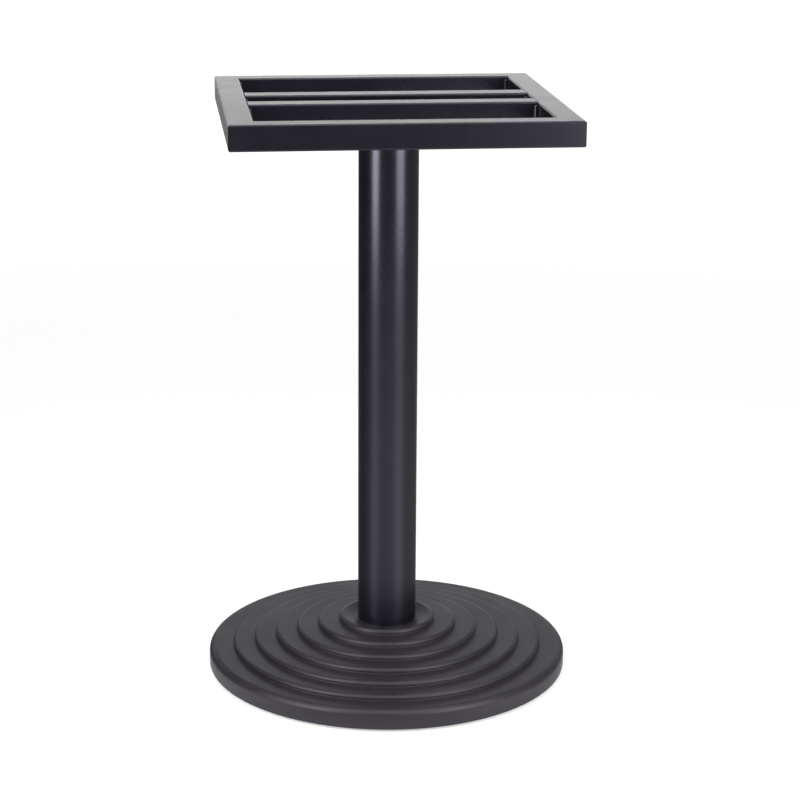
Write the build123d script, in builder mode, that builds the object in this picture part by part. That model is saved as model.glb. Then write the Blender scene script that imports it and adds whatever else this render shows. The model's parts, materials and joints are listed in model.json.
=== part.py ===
import os
from math import cos, hypot, radians, sin

from build123d import *

# Driving dimensions in millimetres. The floor is z = 0 and the column stands on the Z axis.
overall_height = 720.0  # floor to the top of the frame

# Cast foot
base_diameter = 450.0
floor_gap = 3.0  # floor to the underside of the rim
rim_height = 24.0  # outer wall of the rim
rim_thickness = 11.0
rim_edge_radius = 8.0
rim_foot_radius = 1.5
outer_ring_width = 30.5  # flat ring between the rim's outside and the first step
step_count = 6
step_rise = 6.0
step_land = 0.7  # upright strip left between a step's rounded nose and its foot
crease_radius = 0.8  # fillet at the foot of each step
landing_diameter = 121.0  # topmost step
landing_lip = 6.0  # from that step's edge in to the dish around the column
dish_depth = 4.0  # from the lip down to the column's seat
dish_fillet = 2.0
seat_margin = 2.0  # flat ring left around the column
casting_wall = 6.5  # least wall, measured at the foot of each step
casting_fillet = 4.0  # fillets of the hollow underside
boss_diameter = 84.0
boss_depth = 27.0  # top of the lip to the boss's lower face
spigot_height = 10.0  # stub inside the column's lower end
rib_count = 8
rib_thickness = 7.0
rib_depth = 10.0

# Column
column_diameter = 73.0
column_wall = 2.0
locator_thickness = 10.0
locating_clearance = 0.3  # between the column's inside and what keeps it central
lead_in = 2.0  # chamfer on the locating pieces

# Frame of square hollow section
frame_width = 400.0
frame_depth = 400.0
section = 30.0
section_wall = 2.0
section_corner = 2.5
cross_rail_gap = 42.0  # clear space between the two cross rails
plate_thickness = 6.0
plate_lap = 30.0  # how far the plate reaches under each cross rail
plate_corner = 8.0

# Tie rod and its fasteners
rod_diameter = 12.0
rod_end_chamfer = 1.0
rod_stickout = 3.0  # rod left standing past each nut
rod_hole_clearance = 0.5
thread_clearance = 0.1
nut_across_flats = 19.0
nut_height = 10.0
top_washer_diameter = 24.0
bottom_washer_diameter = 37.0
washer_thickness = 3.0
spring_washer_width = 4.0
spring_washer_thickness = 2.5
spring_washer_slit = 1.5

# Floor glides
glide_count = 4
glide_diameter = 32.0
glide_height = 7.0
glide_edge = 1.5  # chamfer at the floor
glide_inset = 20.0  # rim's inside to the glide's centre
glide_boss_margin = 1.5  # casting left around the glide
screw_diameter = 5.0
screw_bite = 10.0  # length held in the casting
screw_head_diameter = 9.5
screw_head_height = 3.0
screw_head_sink = 1.0  # head kept clear of the floor
screw_socket = 3.0  # across flats of the key's socket
screw_socket_depth = 1.8
screw_clearance = 0.3

# Levels and radii that follow from these
base_radius = base_diameter / 2
landing_radius = landing_diameter / 2
rim_top = floor_gap + rim_height
landing_level = rim_top + step_count * step_rise
seat_level = landing_level - dish_depth
seat_radius = column_diameter / 2 + seat_margin
dish_radius = landing_radius - landing_lip
last_step_radius = base_radius - outer_ring_width
step_run = (last_step_radius - landing_radius) / (step_count - 1)
nose_radius = step_rise - crease_radius - step_land
step_slope = step_rise / step_run
rim_inside = base_radius - rim_thickness
boss_radius = boss_diameter / 2
boss_level = landing_level - boss_depth
roof_level = seat_level - casting_wall  # hollow's roof under the seat
roof_edge = last_step_radius - (roof_level + casting_wall * hypot(1, step_slope) - rim_top) / step_slope
rod_hole_radius = rod_diameter / 2 + rod_hole_clearance
column_bore = column_diameter / 2 - column_wall
locating_radius = column_bore - locating_clearance
rail_level = overall_height - section / 2
plate_top = overall_height - section
plate_bottom = plate_top - plate_thickness
plate_size = cross_rail_gap + 2 * plate_lap
cross_rail_offset = (cross_rail_gap + section) / 2
glide_circle = rim_inside - glide_inset
glide_angle = 45.0


def ceiling(radius):
    # Height of the hollow's roof under the steps: a cone that keeps the least wall below each step's foot.
    foot_line = rim_top + step_slope * (last_step_radius - radius)
    return foot_line - casting_wall * hypot(1, step_slope)


def radial_plane(angle):
    # Upright plane through the axis: its x runs outwards, its y runs up.
    a = radians(angle)
    return Plane(origin=(0, 0, 0), x_dir=(cos(a), sin(a), 0), z_dir=(sin(a), -cos(a), 0))


def save(part, name):
    part.label = name
    export_step(part, f"parts/{name}.step")


os.makedirs("parts", exist_ok=True)

# Hollow of the foot: the space that the sand core fills, less the ribs and the glide bosses
with BuildPart() as core:
    with BuildSketch(Plane.XZ):
        with BuildLine():
            FilletPolyline(
                (0, 0),
                (rim_inside, 0),
                (rim_inside, ceiling(rim_inside)),
                (roof_edge, roof_level),
                (boss_radius, roof_level),
                (boss_radius, boss_level),
                (0, boss_level),
                radius=[0, 0, casting_fillet, casting_fillet, casting_fillet, casting_fillet / 2, 0],
                close=True,
            )
        make_face()
    revolve(axis=Axis.Z)
    for rib in range(rib_count):
        with BuildSketch(radial_plane(glide_angle + rib * 360 / rib_count)):
            with BuildLine():
                Polyline(
                    (0, boss_level + casting_fillet),
                    (boss_radius, boss_level + casting_fillet),
                    (rim_inside, ceiling(rim_inside) - rib_depth + casting_fillet),
                    (base_radius, ceiling(rim_inside) - rib_depth + casting_fillet),
                    (base_radius, landing_level),
                    (0, landing_level),
                    close=True,
                )
            make_face()
        extrude(amount=rib_thickness / 2, both=True, mode=Mode.SUBTRACT)
    with BuildSketch(Plane.XY.offset(glide_height)):
        with PolarLocations(glide_circle, glide_count, start_angle=glide_angle):
            Circle(glide_diameter / 2 + glide_boss_margin)
    extrude(amount=landing_level, mode=Mode.SUBTRACT)

# Foot: stepped outside turned about the axis, hollowed by the core
steps = [(landing_radius + k * step_run, landing_level - k * step_rise) for k in range(step_count)]
outline = [
    (rod_hole_radius, 0),
    (rod_hole_radius, seat_level + spigot_height),
    (locating_radius, seat_level + spigot_height),
    (locating_radius, seat_level),
    (seat_radius, seat_level),
    (dish_radius, landing_level),
]
corner_radii = [0, 0, lead_in, 0, dish_fillet, dish_fillet]
for radius, level in steps:
    outline += [(radius, level), (radius, level - step_rise)]
    corner_radii += [nose_radius, crease_radius]
outline += [(base_radius, rim_top), (base_radius, floor_gap), (rim_inside, floor_gap), (rim_inside, 0)]
corner_radii += [rim_edge_radius, rim_foot_radius, 0, 0]

with BuildPart() as base_casting:
    with BuildSketch(Plane.XZ):
        with BuildLine():
            FilletPolyline(*outline, radius=corner_radii, close=True)
        make_face()
    revolve(axis=Axis.Z)
    add(core.part, mode=Mode.SUBTRACT)
    with BuildSketch(Plane.XY.offset(glide_height)):
        with PolarLocations(glide_circle, glide_count, start_angle=glide_angle):
            Circle(screw_diameter / 2 + thread_clearance)
    extrude(amount=screw_bite + screw_clearance, mode=Mode.SUBTRACT)
save(base_casting.part, "base_casting")

# Column
with BuildPart() as column_tube:
    with BuildSketch(Plane.XY.offset(seat_level)):
        Circle(column_diameter / 2)
        Circle(column_bore, mode=Mode.SUBTRACT)
    extrude(amount=plate_bottom - seat_level)
save(column_tube.part, "column_tube")


def hollow_section():
    RectangleRounded(section, section, section_corner)
    inside = section - 2 * section_wall
    RectangleRounded(inside, inside, section_corner - section_wall, mode=Mode.SUBTRACT)


def mitred_rail(length):
    # Rail along X with its outer face towards -Y and both ends cut at 45 degrees
    with BuildPart() as rail:
        with BuildSketch(Plane.YZ.offset(-length / 2)):
            hollow_section()
        extrude(amount=length)
        for end in (-1, 1):
            outer_corner = (end * length / 2, -section / 2, 0)
            split(bisect_by=Plane(origin=outer_corner, z_dir=(-end, -1, 0)), keep=Keep.TOP)
    return rail.part


# Outer frame: four mitred rails
rail_reach_x = (frame_width - section) / 2
rail_reach_y = (frame_depth - section) / 2
front_rail = mitred_rail(frame_width)
side_rail = mitred_rail(frame_depth)
save(front_rail.moved(Location((0, -rail_reach_y, rail_level))), "front_rail")
save(front_rail.moved(Location((0, rail_reach_y, rail_level), (0, 0, 180))), "rear_rail")
save(side_rail.moved(Location((rail_reach_x, 0, rail_level), (0, 0, 90))), "right_rail")
save(side_rail.moved(Location((-rail_reach_x, 0, rail_level), (0, 0, -90))), "left_rail")

# Cross rails, square-cut between the side rails
with BuildPart() as cross_rail:
    with BuildSketch(Plane.YZ.offset(section - frame_width / 2)):
        hollow_section()
    extrude(amount=frame_width - 2 * section)
for name, side in (("front_cross_rail", -1), ("rear_cross_rail", 1)):
    save(cross_rail.part.moved(Location((0, side * cross_rail_offset, rail_level))), name)

# Plate under the cross rails, with the disc that keeps the column central
with BuildPart() as column_plate:
    with BuildSketch(Plane.XY.offset(plate_bottom)):
        RectangleRounded(plate_size, plate_size, plate_corner)
        Circle(rod_hole_radius, mode=Mode.SUBTRACT)
    extrude(amount=plate_thickness)
save(column_plate.part, "column_plate")

with BuildPart() as column_locator:
    with BuildSketch(Plane.XY.offset(plate_bottom - locator_thickness)):
        Circle(locating_radius)
        Circle(rod_hole_radius, mode=Mode.SUBTRACT)
    extrude(amount=locator_thickness)
    lower_edges = column_locator.edges().group_by(Axis.Z)[0]
    chamfer(lower_edges.sort_by(SortBy.RADIUS)[-1], lead_in)
save(column_locator.part, "column_locator")


def washer(level, diameter):
    with BuildPart() as ring:
        with BuildSketch(Plane.XY.offset(level)):
            Circle(diameter / 2)
            Circle(rod_hole_radius, mode=Mode.SUBTRACT)
        extrude(amount=washer_thickness)
    return ring.part


def spring_washer(level):
    outside = rod_hole_radius + spring_washer_width
    with BuildPart() as ring:
        with BuildSketch(Plane.XY.offset(level)):
            Circle(outside)
            Circle(rod_hole_radius, mode=Mode.SUBTRACT)
            with Locations(((outside + rod_hole_radius) / 2, 0)):
                Rectangle(2 * spring_washer_width, spring_washer_slit, mode=Mode.SUBTRACT)
        extrude(amount=spring_washer_thickness)
    return ring.part


def nut(level):
    # Hexagon whose corners are turned off at 30 degrees on both faces
    corner = nut_across_flats / 2 / cos(radians(30))
    fall = (corner - nut_across_flats / 2) * sin(radians(30)) / cos(radians(30))
    with BuildPart() as hexagon:
        with BuildSketch(Plane.XY.offset(level)):
            RegularPolygon(nut_across_flats / 2, 6, major_radius=False)
            Circle(rod_diameter / 2 + thread_clearance, mode=Mode.SUBTRACT)
        extrude(amount=nut_height)
        with BuildSketch(Plane.XZ):
            with BuildLine():
                Polyline(
                    (0, level),
                    (nut_across_flats / 2, level),
                    (corner, level + fall),
                    (corner, level + nut_height - fall),
                    (nut_across_flats / 2, level + nut_height),
                    (0, level + nut_height),
                    close=True,
                )
            make_face()
        revolve(axis=Axis.Z, mode=Mode.INTERSECT)
    return hexagon.part


# Fasteners above the plate and below the foot's boss
top_spring_level = plate_top + washer_thickness
top_nut_level = top_spring_level + spring_washer_thickness
bottom_washer_level = boss_level - washer_thickness
bottom_spring_level = bottom_washer_level - spring_washer_thickness
bottom_nut_level = bottom_spring_level - nut_height
save(washer(plate_top, top_washer_diameter), "top_washer")
save(spring_washer(top_spring_level), "top_spring_washer")
save(nut(top_nut_level), "top_nut")
save(washer(bottom_washer_level, bottom_washer_diameter), "bottom_washer")
save(spring_washer(bottom_spring_level), "bottom_spring_washer")
save(nut(bottom_nut_level), "bottom_nut")

# Tie rod, from below the lower nut to above the upper one
rod_bottom = bottom_nut_level - rod_stickout
rod_top = top_nut_level + nut_height + rod_stickout
with BuildPart() as tie_rod:
    with BuildSketch(Plane.XY.offset(rod_bottom)):
        Circle(rod_diameter / 2)
    extrude(amount=rod_top - rod_bottom)
    chamfer(tie_rod.edges().filter_by(GeomType.CIRCLE), rod_end_chamfer)
save(tie_rod.part, "tie_rod")

# Floor glide with its screw, made on the axis and set around the rim
screw_seat = screw_head_sink + screw_head_height
with BuildPart() as glide:
    with BuildSketch():
        Circle(glide_diameter / 2)
    extrude(amount=glide_height)
    chamfer(glide.edges().group_by(Axis.Z)[0], glide_edge)
    with BuildSketch():
        Circle(screw_head_diameter / 2 + screw_clearance)
    extrude(amount=screw_seat, mode=Mode.SUBTRACT)
    with BuildSketch():
        Circle(screw_diameter / 2 + screw_clearance)
    extrude(amount=glide_height, mode=Mode.SUBTRACT)

with BuildPart() as screw:
    with BuildSketch(Plane.XY.offset(screw_head_sink)):
        Circle(screw_head_diameter / 2)
    extrude(amount=screw_head_height)
    with BuildSketch(Plane.XY.offset(screw_seat)):
        Circle(screw_diameter / 2)
    extrude(amount=glide_height - screw_seat + screw_bite)
    with BuildSketch(Plane.XY.offset(screw_head_sink)):
        RegularPolygon(screw_socket / 2, 6, major_radius=False)
    extrude(amount=screw_socket_depth, mode=Mode.SUBTRACT)

with BuildPart() as glide_screws:
    with PolarLocations(glide_circle, glide_count, start_angle=glide_angle):
        add(screw.part)
save(glide_screws.part, "glide_screws")
glide_places = PolarLocations(glide_circle, glide_count, start_angle=glide_angle)
for number, place in enumerate(glide_places, start=1):
    save(glide.part.moved(place), f"glide_{number}")
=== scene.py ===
import json
import math
import random

import bmesh
import bpy
from mathutils import Matrix, Vector


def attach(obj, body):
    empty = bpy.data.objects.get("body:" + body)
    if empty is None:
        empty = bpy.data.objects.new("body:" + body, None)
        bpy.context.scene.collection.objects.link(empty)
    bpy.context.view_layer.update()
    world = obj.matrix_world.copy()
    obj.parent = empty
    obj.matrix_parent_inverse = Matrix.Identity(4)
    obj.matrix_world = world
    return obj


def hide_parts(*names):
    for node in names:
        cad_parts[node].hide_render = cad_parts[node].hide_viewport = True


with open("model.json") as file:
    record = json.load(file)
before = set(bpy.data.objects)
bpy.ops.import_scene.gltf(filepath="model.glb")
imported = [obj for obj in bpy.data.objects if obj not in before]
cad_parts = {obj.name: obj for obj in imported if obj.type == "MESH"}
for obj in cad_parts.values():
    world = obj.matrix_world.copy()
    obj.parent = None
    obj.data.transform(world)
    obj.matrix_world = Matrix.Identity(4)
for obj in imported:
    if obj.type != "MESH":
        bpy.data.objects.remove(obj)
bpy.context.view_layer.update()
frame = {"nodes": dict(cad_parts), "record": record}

scene = bpy.context.scene
nodes = frame["nodes"]
print("table base: frame loaded,", len(nodes), "CAD nodes")


# Camera at the photograph's viewpoint, worked out for an 800 x 800 image
photoCamera = {
    "imageSide": 800,
    "focalPixels": 2226.55,
    "sensor": 36.0,
    "yaw": 6.757,  # degrees to the right of +Y
    "pitch": 16.049,  # degrees down
    "roll": -0.348,
    "place": (-0.2963, -2.6304, 1.1062),
    "clipEnd": 60.0,
}


def addCamera(look):
    cam = bpy.data.cameras.new("photoCamera")
    ob = bpy.data.objects.new("photoCamera", cam)
    scene.collection.objects.link(ob)
    cam.sensor_width = look["sensor"]
    cam.lens = look["focalPixels"] * look["sensor"] / look["imageSide"]
    cam.clip_end = look["clipEnd"]
    turn = Matrix.Rotation(math.radians(-look["yaw"]), 4, "Z")
    tilt = Matrix.Rotation(math.radians(90 - look["pitch"]), 4, "X")
    lean = Matrix.Rotation(math.radians(-look["roll"]), 4, "Z")
    ob.matrix_world = Matrix.Translation(look["place"]) @ turn @ tilt @ lean
    scene.camera = ob


addCamera(photoCamera)
print("camera set")


# Small helpers for the materials
noiseSpan = (0.3, 0.7)  # where most of a noise's values lie


def addNoise(tree, coords, scale, detail):
    noise = tree.nodes.new("ShaderNodeTexNoise")
    noise.inputs["Scale"].default_value = scale
    noise.inputs["Detail"].default_value = detail
    noise.inputs["Roughness"].default_value = 0.5
    tree.links.new(coords, noise.inputs["Vector"])
    return noise.outputs["Fac"]


def toRange(tree, value, low, high, start, end):
    ranger = tree.nodes.new("ShaderNodeMapRange")
    ranger.inputs["From Min"].default_value = start
    ranger.inputs["From Max"].default_value = end
    ranger.inputs["To Min"].default_value = low
    ranger.inputs["To Max"].default_value = high
    tree.links.new(value, ranger.inputs["Value"])
    return ranger.outputs["Result"]


def twoTone(tree, value, *tones):
    ramp = tree.nodes.new("ShaderNodeValToRGB")
    for stop, place, tone in zip(ramp.color_ramp.elements, noiseSpan, tones):
        stop.position = place
        stop.color = (*tone, 1)
    tree.links.new(value, ramp.inputs["Fac"])
    return ramp.outputs["Color"]


def addBump(tree, height, depth, strength, under):
    bump = tree.nodes.new("ShaderNodeBump")
    bump.inputs["Distance"].default_value = depth
    bump.inputs["Strength"].default_value = strength
    tree.links.new(height, bump.inputs["Height"])
    if under is not None:
        tree.links.new(under, bump.inputs["Normal"])
    return bump.outputs["Normal"]


def calculate(tree, operation, *values):
    node = tree.nodes.new("ShaderNodeMath")
    node.operation = operation
    for place, value in enumerate(values):
        if isinstance(value, (int, float)):
            node.inputs[place].default_value = value
        else:
            tree.links.new(value, node.inputs[place])
    return node.outputs[0]


def emptyMaterial(name):
    mat = bpy.data.materials.new(name)
    mat.use_nodes = True
    tree = mat.node_tree
    tree.nodes.clear()
    out = tree.nodes.new("ShaderNodeOutputMaterial")
    coords = tree.nodes.new("ShaderNodeTexCoord")
    return mat, tree, out.inputs["Surface"], coords.outputs["Object"]


# The four finishes. A noise is given by its scale per metre and its detail, and each
# bump by those two, its depth in metres and its strength.

# Satin black powder coat on the tube and the frame
powderCoat = {
    "dark": (0.0045, 0.0040, 0.0062),
    "light": (0.0070, 0.0063, 0.0096),
    "tone": (45.0, 4.0),  # faint colour patches
    "patch": (22.0, 3.0),  # patches of more and less gloss
    "gloss": (0.258, 0.276),  # roughness range
    "bumps": [(420.0, 2.0, 0.00004, 0.25)],  # orange peel
    "sockets": {"IOR": 1.54, "Specular Tint": (0.84, 0.82, 1.0, 1)},  # cool highlights
}

# Thicker satin paint on the sand-cast foot
castPaint = {
    "dark": (0.0105, 0.0088, 0.0122),
    "light": (0.0154, 0.0130, 0.0180),
    "tone": (30.0, 5.0),
    "patch": (16.0, 4.0),
    "gloss": (0.46, 0.53),
    "bumps": [(60.0, 2.0, 0.00025, 0.2),  # slow unevenness of the casting
              (650.0, 3.0, 0.00018, 0.25)],  # sand grain showing through the paint
    "sockets": {"IOR": 1.53, "Specular Tint": (0.93, 0.88, 1.0, 1)},
}

# Bright zinc on the rod, the nuts, the washers and the glide screws
zincPlate = {
    "dark": (0.52, 0.52, 0.50),
    "light": (0.70, 0.70, 0.67),
    "tone": (180.0, 4.0),  # spangle, which the gloss follows
    "gloss": (0.26, 0.42),
    "bumps": [(900.0, 2.0, 0.00006, 0.3)],  # fine scratches
    "sockets": {"Metallic": 1.0},
}

# Black nylon of the glides
glideNylon = {
    "dark": (0.016, 0.016, 0.017),
    "light": (0.026, 0.026, 0.027),
    "tone": (120.0, 3.0),  # mottle, which the gloss follows
    "gloss": (0.46, 0.60),
    "bumps": [(1400.0, 2.0, 0.00008, 0.3)],
    "sockets": {"IOR": 1.53},
}


def makeFinish(name, look):
    mat, tree, surface, coords = emptyMaterial(name)
    shader = tree.nodes.new("ShaderNodeBsdfPrincipled")
    tree.links.new(shader.outputs["BSDF"], surface)
    tone = addNoise(tree, coords, *look["tone"])
    tree.links.new(twoTone(tree, tone, look["dark"], look["light"]), shader.inputs["Base Color"])
    patch = addNoise(tree, coords, *look["patch"]) if "patch" in look else tone
    tree.links.new(toRange(tree, patch, *look["gloss"], *noiseSpan), shader.inputs["Roughness"])
    normal = None
    for scale, detail, depth, strength in look["bumps"]:
        normal = addBump(tree, addNoise(tree, coords, scale, detail), depth, strength, normal)
    tree.links.new(normal, shader.inputs["Normal"])
    for socket, value in look["sockets"].items():
        shader.inputs[socket].default_value = value
    return mat


finishes = {
    "frame_paint": makeFinish("powderCoat", powderCoat),
    "foot_paint": makeFinish("castPaint", castPaint),
    "zinc": makeFinish("zincPlate", zincPlate),
    "glide_nylon": makeFinish("glideNylon", glideNylon),
}
for part in frame["record"]["subparts"]:
    ob = nodes[part["node"]]
    ob.data.materials.clear()
    ob.data.materials.append(finishes[part["material_slot"]])
print("finishes on", len(nodes), "CAD nodes")


# Helpers for the new pieces
samePoint = 1e-6  # metres, points closer than this are one


def joinInto(bm, part):
    mesh = bpy.data.meshes.new("part")
    part.to_mesh(mesh)
    part.free()
    bm.from_mesh(mesh)
    bpy.data.meshes.remove(mesh)


def finishPiece(bm, name, slot, angle):
    bmesh.ops.remove_doubles(bm, verts=bm.verts, dist=samePoint)
    bmesh.ops.recalc_face_normals(bm, faces=bm.faces)
    mesh = bpy.data.meshes.new(name)
    bm.to_mesh(mesh)
    bm.free()
    mesh.shade_smooth()
    mesh.set_sharp_from_angle(angle=math.radians(angle))
    mesh.materials.append(finishes[slot])
    ob = bpy.data.objects.new(name, mesh)
    scene.collection.objects.link(ob)
    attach(ob, "root")
    return ob


# What all weld beads share
weldBead = {
    "sides": 12,
    "uneven": 0.03,  # share of the radius that the ripples vary by
    "ends": 0.55,  # the end rings are this much smaller
    "fewestRipples": 4,
    "sharpAngle": 60,  # degrees
}


def addBead(bm, start, end, look, seed):
    start, end = Vector(start), Vector(end)
    length = (end - start).length
    dice = random.Random(seed)
    bead = bmesh.new()
    bmesh.ops.create_cone(bead, cap_ends=True, segments=weldBead["sides"], radius1=look["radius"],
                          radius2=look["radius"], depth=length)
    long = [e for e in bead.edges if abs(e.verts[0].co.z - e.verts[1].co.z) > length / 2]
    cuts = max(weldBead["fewestRipples"], round(length / look["ripple"]))
    bmesh.ops.subdivide_edges(bead, edges=long, cuts=cuts, use_grid_fill=True)
    rings = {}
    for v in bead.verts:
        rings.setdefault(round(v.co.z / length * (cuts + 1) * 2), []).append(v)
    for place, level in enumerate(sorted(rings)):
        grow = 1 - look["ridge"] * (place % 2) + dice.uniform(-weldBead["uneven"], weldBead["uneven"])
        if place in (0, len(rings) - 1):
            grow = weldBead["ends"]
        bmesh.ops.scale(bead, vec=(grow, grow, 1), verts=rings[level])
    turn = (end - start).to_track_quat("Z", "Y").to_matrix().to_4x4()
    bmesh.ops.transform(bead, matrix=Matrix.Translation((start + end) / 2) @ turn, verts=bead.verts)
    joinInto(bm, bead)


# Vertical weld beads in the frame's inner corners and at the ends of the cross rails
frameWelds = {
    "radius": 0.0034,
    "sink": 0.0012,  # how far the middle of a bead stands off both walls
    "ripple": 0.0011,
    "ridge": 0.05,  # share of the radius that the ripples take
    "inner": 0.170,  # inner faces of the outer rails
    "crossFaces": (0.021, 0.051),  # inner and outer faces of the cross rails
    "heights": (0.6935, 0.7165),
}
bm = bmesh.new()
low, high = frameWelds["heights"]
near = frameWelds["inner"] - frameWelds["sink"]
crossIn = frameWelds["crossFaces"][0] - frameWelds["sink"]
crossOut = frameWelds["crossFaces"][1] + frameWelds["sink"]
seed = 0
for sx in (-1, 1):
    for sy in (-1, 1):
        for y in (near, crossIn, crossOut):
            seed += 1
            addBead(bm, (sx * near, sy * y, low), (sx * near, sy * y, high), frameWelds, seed)
finishPiece(bm, "frame_welds", "frame_paint", weldBead["sharpAngle"])
print("frame welds:", seed, "beads")


# Beads that hold the column plate under the cross rails
plateWelds = {
    "radius": 0.0024,
    "ripple": 0.0009,
    "ridge": 0.09,
    "edge": 0.051,  # plate edges, flush with the outer faces of the cross rails
    "under": 0.690,  # level of the lap
    "long": 0.043,  # half length along the rails
    "longSeat": (-0.0014, 0.0007),  # out from the edge, up from the lap
    "short": (0.025, 0.047),  # across each rail's underside
    "shortSeat": (0.0006, -0.0006),
}
bm = bmesh.new()
half = plateWelds["long"]
inY, outY = plateWelds["short"]
longOut, shortOut = (plateWelds["edge"] + plateWelds[seat][0] for seat in ("longSeat", "shortSeat"))
longZ, shortZ = (plateWelds["under"] + plateWelds[seat][1] for seat in ("longSeat", "shortSeat"))
for side in (-1, 1):
    seed += 1
    addBead(bm, (-half, side * longOut, longZ), (half, side * longOut, longZ), plateWelds, seed)
    for rail in (-1, 1):
        seed += 1
        addBead(bm, (side * shortOut, rail * inY, shortZ), (side * shortOut, rail * outY, shortZ),
                plateWelds, seed)
finishPiece(bm, "plate_welds", "frame_paint", weldBead["sharpAngle"])
print("plate welds set")


# Rod through the column, threaded at both ends, plain between
tieRod = {
    "core": 0.00508,
    "crest": 0.00595,
    "pitch": 0.00175,
    "flanks": (0.40, 0.52, 0.92),  # crest from, crest to and core again, in pitches
    "steps": 28,  # per turn
    "ends": (0.0175, 0.7085),
    "threads": (0.032, 0.040),  # length at the bottom and at the top
    "tip": 0.84,  # the end faces are this much smaller
    "shank": 0.0054,
    "shankSides": 32,
    "shankLap": 0.002,  # how far the shank runs into the threads
    "sharpAngle": 35,  # degrees
}


def addThread(bm, low, high, look):
    pitch, core, crest = look["pitch"], look["core"], look["crest"]
    crestFrom, crestTo, coreAgain = look["flanks"]
    ridge = [(core, 0), (crest, crestFrom), (crest, crestTo), (core, coreAgain), (core, 1)]
    turns = math.ceil((high - low) / pitch) + 2  # one spare turn at each end is cut off
    screw = bmesh.new()
    corners = [screw.verts.new((r, 0, low + (z - 1) * pitch)) for r, z in ridge]
    edges = [screw.edges.new(pair) for pair in zip(corners, corners[1:])]
    bmesh.ops.spin(screw, geom=corners + edges, cent=(0, 0, 0), axis=(0, 0, 1), angle=2 * math.pi * turns,
                   dvec=(0, 0, pitch / look["steps"]), steps=look["steps"] * turns, use_merge=False)
    bmesh.ops.remove_doubles(screw, verts=screw.verts, dist=2 * samePoint)
    for level, side in ((low, -1), (high, 1)):
        bmesh.ops.bisect_plane(screw, geom=[*screw.verts, *screw.edges, *screw.faces], dist=samePoint / 10,
                               plane_co=(0, 0, level), plane_no=(0, 0, side), clear_outer=True)
        rim = [e for e in screw.edges if e.is_boundary and abs(e.verts[0].co.z - level) < samePoint]
        bmesh.ops.edgeloop_fill(screw, edges=rim)
        if level in look["ends"]:
            tip = [v for v in screw.verts if abs(v.co.z - level) < samePoint]
            bmesh.ops.scale(screw, vec=(look["tip"], look["tip"], 1), verts=tip)
    joinInto(bm, screw)


bm = bmesh.new()
bottom, top = tieRod["ends"]
lowThread, highThread = tieRod["threads"]
addThread(bm, bottom, bottom + lowThread, tieRod)
addThread(bm, top - highThread, top, tieRod)
shankLow = bottom + lowThread - tieRod["shankLap"]
shankHigh = top - highThread + tieRod["shankLap"]
bmesh.ops.create_cone(bm, cap_ends=True, segments=tieRod["shankSides"], radius1=tieRod["shank"],
                      radius2=tieRod["shank"], depth=shankHigh - shankLow,
                      matrix=Matrix.Translation((0, 0, (shankLow + shankHigh) / 2)))
rod = finishPiece(bm, "threaded_rod", "zinc", tieRod["sharpAngle"])
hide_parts("tie_rod")
print("rod threaded:", len(rod.data.polygons), "faces")


# Studio: pale floor, white surround, four soft lamps
studio = {
    "floorSide": 30.0,
    "floorWhite": 0.62,
    "glow": (0.50, 0.92),  # near the foot and far off
    "glowReach": (0.6, 4.0),
    "ambient": 0.24,
    "top": {"place": (0.0, -0.3, 2.4), "aim": (0, -0.3, 0), "size": (3.0, 2.8), "power": 34.0},
    "left": {"place": (-0.99, -0.66, 0.83), "aim": (0, 0, 0.83), "size": (0.48, 0.98), "power": 16.0},
    "right": {"place": (0.77, -0.97, 0.82), "aim": (0, 0, 0.82), "size": (0.64, 0.98), "power": 14.6},
    "back": {"place": (0.55, 4.6, 1.42), "aim": (0, 0, 0.72), "size": (2.6, 0.5), "power": 5.3},
}


def addLamp(name, look):
    lamp = bpy.data.lights.new(name, "AREA")
    lamp.shape = "RECTANGLE"
    lamp.size, lamp.size_y = look["size"]
    lamp.energy = look["power"]
    ob = bpy.data.objects.new(name, lamp)
    scene.collection.objects.link(ob)
    ob.location = look["place"]
    ob.rotation_euler = (Vector(look["aim"]) - Vector(look["place"])).to_track_quat("-Z", "Y").to_euler()
    ob.visible_camera = False


for lampName in ("top", "left", "right", "back"):
    addLamp(lampName + "Softbox", studio[lampName])


def seenRay(tree):
    path = tree.nodes.new("ShaderNodeLightPath")
    seen = path.outputs["Is Camera Ray"]
    for ray in ("Is Glossy Ray", "Is Transmission Ray"):
        seen = calculate(tree, "MAXIMUM", seen, path.outputs[ray])
    return seen


world = bpy.data.worlds.new("whiteSurround")
scene.world = world
world.use_nodes = True
worldTree = world.node_tree
background = worldTree.nodes["Background"]
background.inputs["Color"].default_value = (1, 1, 1, 1)
level = toRange(worldTree, seenRay(worldTree), studio["ambient"], 1.0, 0.0, 1.0)
worldTree.links.new(level, background.inputs["Strength"])


def addStage(name, bm, mat):
    mesh = bpy.data.meshes.new(name)
    bm.to_mesh(mesh)
    bm.free()
    mesh.materials.append(mat)
    ob = bpy.data.objects.new(name, mesh)
    scene.collection.objects.link(ob)
    return ob


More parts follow.
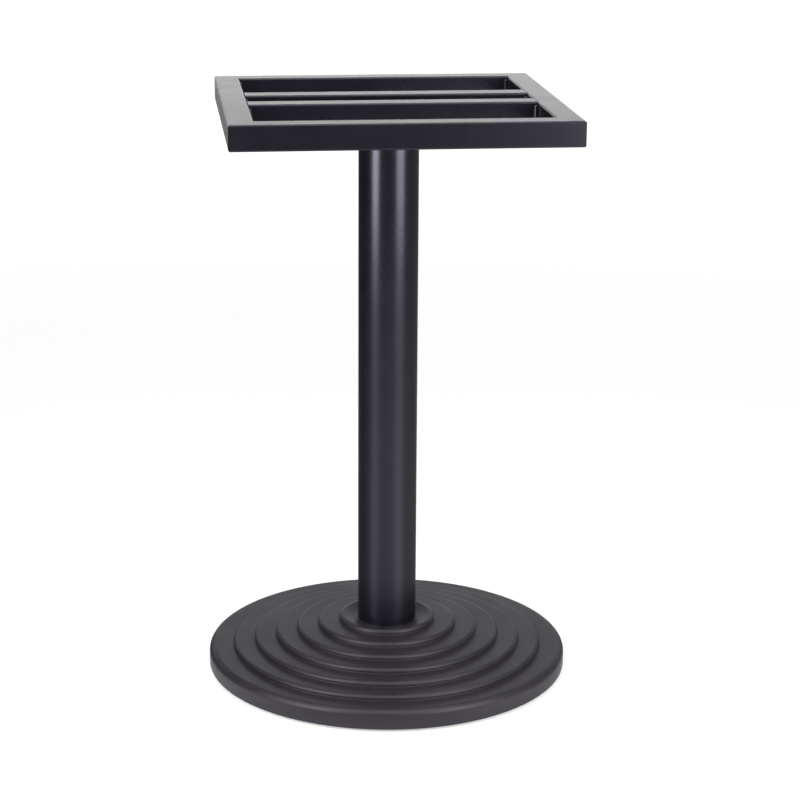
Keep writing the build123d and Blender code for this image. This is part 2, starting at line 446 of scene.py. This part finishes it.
floorMat, floorTree, floorSurface, floorCoords = emptyMaterial("paleFloor")
floorMatte = floorTree.nodes.new("ShaderNodeBsdfDiffuse")
floorMatte.inputs["Color"].default_value = (*[studio["floorWhite"]] * 3, 1)
away = floorTree.nodes.new("ShaderNodeVectorMath")
away.operation = "LENGTH"
floorTree.links.new(floorCoords, away.inputs[0])
fade = toRange(floorTree, away.outputs["Value"], *studio["glow"], *studio["glowReach"])
floorGlow = floorTree.nodes.new("ShaderNodeEmission")
floorTree.links.new(calculate(floorTree, "MULTIPLY", seenRay(floorTree), fade), floorGlow.inputs["Strength"])
floorBoth = floorTree.nodes.new("ShaderNodeAddShader")
floorTree.links.new(floorMatte.outputs["BSDF"], floorBoth.inputs[0])
floorTree.links.new(floorGlow.outputs["Emission"], floorBoth.inputs[1])
floorTree.links.new(floorBoth.outputs["Shader"], floorSurface)

bm = bmesh.new()
bmesh.ops.create_grid(bm, x_segments=1, y_segments=1, size=studio["floorSide"] / 2)
addStage("paleFloor", bm, floorMat)

# Glowing sheet round the set and over it, which only the reflections show. Its glow is a painted reflection:
# the studio's light and shade painted in, not a lamp. It is open behind the object, and above it.
curtain = {
    "radius": 3.4,
    "skirt": 0.35,
    "sill": 1.42,
    "height": 2.4,
    "canopy": (0.9, 2.9),  # radius and height of the inner edge of the part overhead
    "cloth": (0.245, 0.004),  # the curtain lies on the floor from here outwards, at this height
    "gaps": (30.0, 70.0, 0.0),  # degrees left open at the back: skirt, above it, above the sill
    "gapTurn": -6.7,  # degrees from +Y, where the middle of the gaps is
    "near": (0.07, 0.80),  # painted reflection tone on the floor part round the object, at the back and in front
    "nearTurn": (-0.5, 1.0),  # cosine of the bearing from -Y where those tones hold
    "nearReach": (1.0, 2.5),
    "far": (0.012, 0.21),  # painted reflection tone further off, on the left and on the right
    "paintedPool": 0.98,  # painted pool of the softboxes' light on the floor part below them
    "paintedPoolReach": (1.4, 2.4),
    "paintedPoolSpread": 26.0,  # degrees
    "paintedBand": 0.42,  # painted pale band on the upright part, a painted reflection that the rails' tops show from other sides
    "paintedBandLow": (0.75, 1.15),
    "paintedBandHigh": (1.35, 1.6),
    "steps": 64,
}

curtainMat, curtainTree, curtainSurface, curtainCoords = emptyMaterial("paintedReflectionCurtain")
axes = curtainTree.nodes.new("ShaderNodeSeparateXYZ")
curtainTree.links.new(curtainCoords, axes.inputs[0])
across, up = axes.outputs["X"], axes.outputs["Z"]
deep = calculate(curtainTree, "MULTIPLY", axes.outputs["Y"], -1.0)
acrossSquare = calculate(curtainTree, "MULTIPLY", across, across)
deepSquare = calculate(curtainTree, "MULTIPLY", deep, deep)
far = calculate(curtainTree, "SQRT", calculate(curtainTree, "ADD", acrossSquare, deepSquare))
bearing = calculate(curtainTree, "ARCTAN2", across, deep)

# Painted reflection tone near the object, then left to right, then the painted pools of lamp light under the
# two softboxes, then the painted pale band
facing = calculate(curtainTree, "COSINE", bearing)
tone = toRange(curtainTree, facing, *curtain["near"], *curtain["nearTurn"])
close = toRange(curtainTree, far, 1.0, 0.0, *curtain["nearReach"])
tone = calculate(curtainTree, "MULTIPLY", tone, close)
sideways = calculate(curtainTree, "SINE", bearing)
tone = calculate(curtainTree, "ADD", tone, toRange(curtainTree, sideways, *curtain["far"], -1.0, 1.0))
# painted pools of the softboxes' light, added to the glow
close = toRange(curtainTree, far, curtain["paintedPool"], 0.0, *curtain["paintedPoolReach"])
for lampName in ("left", "right"):
    x, y = studio[lampName]["place"][:2]
    off = calculate(curtainTree, "SUBTRACT", bearing, math.atan2(x, -y))
    off = calculate(curtainTree, "ABSOLUTE", off)
    paintedPool = toRange(curtainTree, off, 1.0, 0.0, 0.0, math.radians(curtain["paintedPoolSpread"]))
    tone = calculate(curtainTree, "ADD", tone, calculate(curtainTree, "MULTIPLY", paintedPool, close))
# painted pale band, a painted reflection for the rails' tops
paintedBand = toRange(curtainTree, up, 0.0, curtain["paintedBand"], *curtain["paintedBandLow"])
fade = toRange(curtainTree, up, 1.0, 0.0, *curtain["paintedBandHigh"])
tone = calculate(curtainTree, "ADD", tone, calculate(curtainTree, "MULTIPLY", paintedBand, fade))
# the painted reflection tone becomes the sheet's glow
curtainGlow = curtainTree.nodes.new("ShaderNodeEmission")
curtainTree.links.new(tone, curtainGlow.inputs["Strength"])
curtainTree.links.new(curtainGlow.outputs["Emission"], curtainSurface)


def hangCurtain(bm, fold, gap):
    angle = math.radians(360 - gap)
    turn = math.radians(curtain["gapTurn"]) - math.pi / 2 - angle / 2  # the gap is behind the object
    points = [bm.verts.new((r * math.cos(turn), r * math.sin(turn), z)) for r, z in fold]
    edges = [bm.edges.new(pair) for pair in zip(points, points[1:])]
    bmesh.ops.spin(bm, geom=points + edges, cent=(0, 0, 0), axis=(0, 0, 1), angle=angle,
                   steps=curtain["steps"], use_merge=gap == 0)


radius, onFloor = curtain["radius"], curtain["cloth"][1]
folds = [
    [curtain["cloth"], (radius, onFloor), (radius, curtain["skirt"])],
    [(radius, curtain["skirt"]), (radius, curtain["sill"])],
    [(radius, curtain["sill"]), (radius, curtain["height"]), curtain["canopy"]],
]
bm = bmesh.new()
for fold, gap in zip(folds, curtain["gaps"]):
    hangCurtain(bm, fold, gap)
hung = addStage("paintedReflectionCurtain", bm, curtainMat)
hung.visible_camera = False
hung.visible_diffuse = False
hung.visible_transmission = False
hung.visible_shadow = False
hung.visible_volume_scatter = False
scene.view_settings.view_transform = "Standard"
print("studio set")
